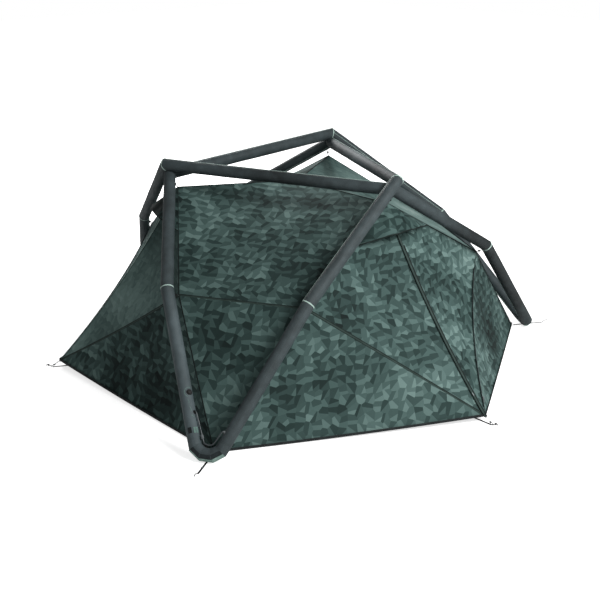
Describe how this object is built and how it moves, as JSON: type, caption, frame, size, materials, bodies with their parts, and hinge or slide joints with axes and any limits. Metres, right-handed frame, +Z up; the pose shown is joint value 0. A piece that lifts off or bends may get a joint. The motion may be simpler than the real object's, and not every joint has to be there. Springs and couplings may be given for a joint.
{
  "type": "inflatable_tent",
  "caption": "Low dome tent on three feet: air-filled tube arches cross at three top nodes and carry a pitched fly with a hooded door from short cords.",
  "frame": {"origin": "on the tent's upright axis, on the ground, at the underside of the groundsheet", "axes": "+Z is up, -Y is the door bay, and the three feet are at -150, -30 and 90 degrees round from +X"},
  "size_m": [4.1482, 4.5465, 1.7105],
  "materials": {
    "sleeve_cloth": "charcoal woven polyester",
    "bladder_film": "translucent film",
    "printed_fly_cloth": "coated polyester with a dark green printed pattern",
    "hood_cloth": "coated polyester",
    "coated_floor_cloth": "black coated cloth",
    "inner_tent_cloth": "light breathable polyester",
    "black_plastic": "moulded",
    "grey_plastic": "moulded",
    "hose_film": "smooth",
    "peg_metal": "dark coated steel",
    "cord_yarn": "braided cord"
  },
  "bodies": {
    "tent": {"bladder_back": "bladder_film", "bladder_front_left": "bladder_film", "bladder_front_right": "bladder_film", "corner_loop_front": "cord_yarn", "corner_loop_left": "cord_yarn", "corner_loop_right": "cord_yarn", "door_header_panel": "hood_cloth", "fly_door_side_panel": "printed_fly_cloth", "fly_foot_panel_back": "printed_fly_cloth", "fly_foot_panel_front_left": "printed_fly_cloth", "fly_foot_panel_front_right": "printed_fly_cloth", "fly_front_bay_panel": "printed_fly_cloth", "fly_left_bay_panel_1": "printed_fly_cloth", "fly_left_bay_panel_2": "printed_fly_cloth", "fly_right_bay_panel_1": "printed_fly_cloth", "fly_right_bay_panel_2": "printed_fly_cloth", "fly_roof_panel_back": "printed_fly_cloth", "fly_roof_panel_front_left": "printed_fly_cloth", "fly_roof_panel_front_right": "printed_fly_cloth", "groundsheet": "coated_floor_cloth", "hose_clamp_front_left": "grey_plastic", "hose_clamp_front_right": "grey_plastic", "hose_front_left": "hose_film", "hose_front_right": "hose_film", "inner_tent_canopy": "inner_tent_cloth", "inner_tent_floor": "coated_floor_cloth", "peg_bay_front": "peg_metal", "peg_bay_left": "peg_metal", "peg_bay_right": "peg_metal", "peg_foot_back": "peg_metal", "peg_foot_front_left": "peg_metal", "peg_foot_front_right": "peg_metal", "sleeve_back_foot": "sleeve_cloth", "sleeve_back_over_lower_leg": "sleeve_cloth", "sleeve_back_over_upper_leg": "sleeve_cloth", "sleeve_back_top_bar": "sleeve_cloth", "sleeve_back_under_lower_leg": "sleeve_cloth", "sleeve_back_under_upper_leg": "sleeve_cloth", "sleeve_front_left_foot": "sleeve_cloth", "sleeve_front_left_over_lower_leg": "sleeve_cloth", "sleeve_front_left_over_upper_leg": "sleeve_cloth", "sleeve_front_left_top_bar": "sleeve_cloth", "sleeve_front_left_under_lower_leg": "sleeve_cloth", "sleeve_front_left_under_upper_leg": "sleeve_cloth", "sleeve_front_right_foot": "sleeve_cloth", "sleeve_front_right_over_lower_leg": "sleeve_cloth", "sleeve_front_right_over_upper_leg": "sleeve_cloth", "sleeve_front_right_top_bar": "sleeve_cloth", "sleeve_front_right_under_lower_leg": "sleeve_cloth", "sleeve_front_right_under_upper_leg": "sleeve_cloth", "valve_base": "black_plastic", "vent_hood_front": "hood_cloth", "vent_hood_left": "hood_cloth"},
    "door": {"door_panel": "printed_fly_cloth"},
    "ridge_zip": {"ridge_zip_slider": "black_plastic"},
    "side_zip": {"side_zip_slider": "black_plastic"},
    "valve_lid": {"valve_cap": "black_plastic"},
    "valve_plunger": {"valve_stem": "grey_plastic"},
    "clamp_lever_left": {"clamp_lever_front_left": "black_plastic"},
    "clamp_lever_right": {"clamp_lever_front_right": "black_plastic"}
  },
  "joints": [
    {"name": "door_hinge", "type": "hinge", "parent": "tent", "child": "door", "pos_m": [0, -0.99286, 1.47562], "axis": [-0.8589, 0.1192, 0.498], "range_deg": [0, 68]},
    {"name": "ridge_zip_slide", "type": "slide", "parent": "tent", "child": "ridge_zip", "axis": [0, 0.5904, 0.8071], "range_m": [0, 1.2]},
    {"name": "side_zip_slide", "type": "slide", "parent": "tent", "child": "side_zip", "axis": [0.6196, 0.5708, 0.5387], "range_m": [0, 1.15]},
    {"name": "valve_cap_hinge", "type": "hinge", "parent": "tent", "child": "valve_lid", "pos_m": [-1.76265, -0.79192, 0.39388], "axis": [0.283, 0.6022, 0.7465], "range_deg": [0, 150]},
    {"name": "valve_stem_slide", "type": "slide", "parent": "tent", "child": "valve_plunger", "axis": [-0.0547, 0.7872, -0.6143], "range_m": [0, 0.006], "stiffness_N_per_m": 200},
    {"name": "clamp_lever_left_hinge", "type": "hinge", "parent": "tent", "child": "clamp_lever_left", "pos_m": [-1.83277, -0.97354, 0.17073], "axis": [-0.656, 0.6914, -0.3026], "range_deg": [0, 80]},
    {"name": "clamp_lever_right_hinge", "type": "hinge", "parent": "tent", "child": "clamp_lever_right", "pos_m": [1.7595, -1.10046, 0.17073], "axis": [-0.2708, -0.9138, -0.3026], "range_deg": [0, 80]}
  ]
}
